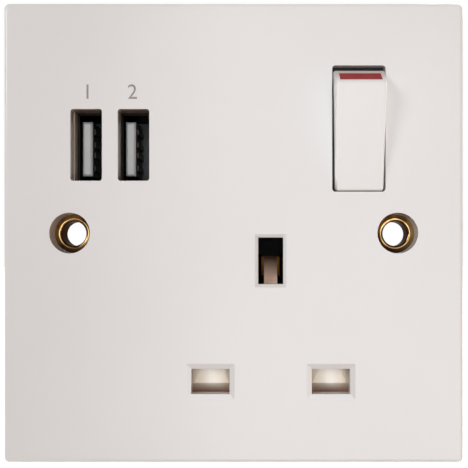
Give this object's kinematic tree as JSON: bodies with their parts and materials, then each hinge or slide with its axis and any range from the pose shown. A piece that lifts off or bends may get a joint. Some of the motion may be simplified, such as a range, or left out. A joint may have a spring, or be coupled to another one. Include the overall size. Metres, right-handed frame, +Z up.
{
  "type": "usb wall socket",
  "caption": "Square single switched wall socket with shuttered pin holes, a rocker switch with a red marker, and a pair of USB charging ports.",
  "frame": {"origin": "centre of the plate's rear rim, in the plane of the wall", "axes": "+X right seen from the front, +Y into the wall, +Z up"},
  "size_m": [0.086, 0.0362, 0.086],
  "materials": {
    "white_moulding": "glossy white moulded urea",
    "white_inner_moulding": "moulded nylon",
    "dark_moulding": "fine matt texture",
    "ivory_nylon": "moulded nylon",
    "red_marker": "smooth",
    "brass": "stamped",
    "plated_steel": "zinc plated",
    "silver_tip": "silver contact",
    "green_board": "solder mask on glass laminate",
    "ferrite": "matt ferrite",
    "yellow_tape": "wound tape",
    "dark_can": "sleeved can",
    "black_package": "moulded epoxy",
    "pale_ceramic": "ceramic",
    "brown_insulation": "wire insulation",
    "blue_insulation": "wire insulation",
    "pale_insulator": "moulded insulator",
    "gilt_contact": "plated"
  },
  "bodies": {
    "base": {"board_fuse": "pale_ceramic", "bridge_rectifier": "black_package", "bulk_capacitors": "dark_can", "controller_chip": "black_package", "earth_contact": "brass", "earth_strap": "brass", "earth_terminal": "brass", "eyelet_left": "brass", "eyelet_right": "brass", "face_plate": "white_moulding", "fixed_contact_tip": "silver_tip", "housing_screws": "plated_steel", "line_contact": "brass", "line_feed": "brass", "line_lead": "brown_insulation", "line_terminal": "brass", "neutral_contact": "brass", "neutral_lead": "blue_insulation", "neutral_terminal": "brass", "output_capacitors": "dark_can", "port_contacts_left": "gilt_contact", "port_contacts_right": "gilt_contact", "port_insulator_left": "pale_insulator", "port_insulator_right": "pale_insulator", "port_shell_left": "plated_steel", "port_shell_right": "plated_steel", "rear_housing": "dark_moulding", "shutter_carrier": "white_inner_moulding", "shutter_spring": "plated_steel", "terminal_screws": "plated_steel", "transformer_core": "ferrite", "transformer_winding": "yellow_tape", "usb_board": "green_board"},
    "rocker": {"switch_rocker": "white_moulding", "rocker_marker": "red_marker", "plunger_spring": "plated_steel"},
    "plunger": {"rocker_plunger": "ivory_nylon"},
    "seesaw": {"moving_contact": "brass", "moving_contact_tip": "silver_tip"},
    "shutter": {"pin_shutter": "ivory_nylon"}
  },
  "joints": [
    {"name": "rocker_hinge", "type": "hinge", "parent": "base", "child": "rocker", "pos_m": [0.023, -0.0039, 0.0192], "axis": [1, 0, 0], "range_deg": [-25, 0]},
    {"name": "plunger_slide", "type": "slide", "parent": "rocker", "child": "plunger", "axis": [0, -0.9763, -0.2164], "range_m": [0, 0.001], "stiffness_N_per_m": 400, "springref_m": -0.002, "deforming": ["plunger_spring"]},
    {"name": "seesaw_hinge", "type": "hinge", "parent": "base", "child": "seesaw", "pos_m": [0.023, 0.00638, 0.0192], "axis": [1, 0, 0], "range_deg": [0, 20]},
    {"name": "shutter_slide", "type": "slide", "parent": "base", "child": "shutter", "axis": [0, 0, -1], "range_m": [0, 0.0055], "stiffness_N_per_m": 150, "springref_m": -0.003, "deforming": ["shutter_spring"]}
  ],
  "couplings": [
    {"joint": "seesaw_hinge", "follows": "rocker_hinge", "ratio": -0.8}
  ]
}
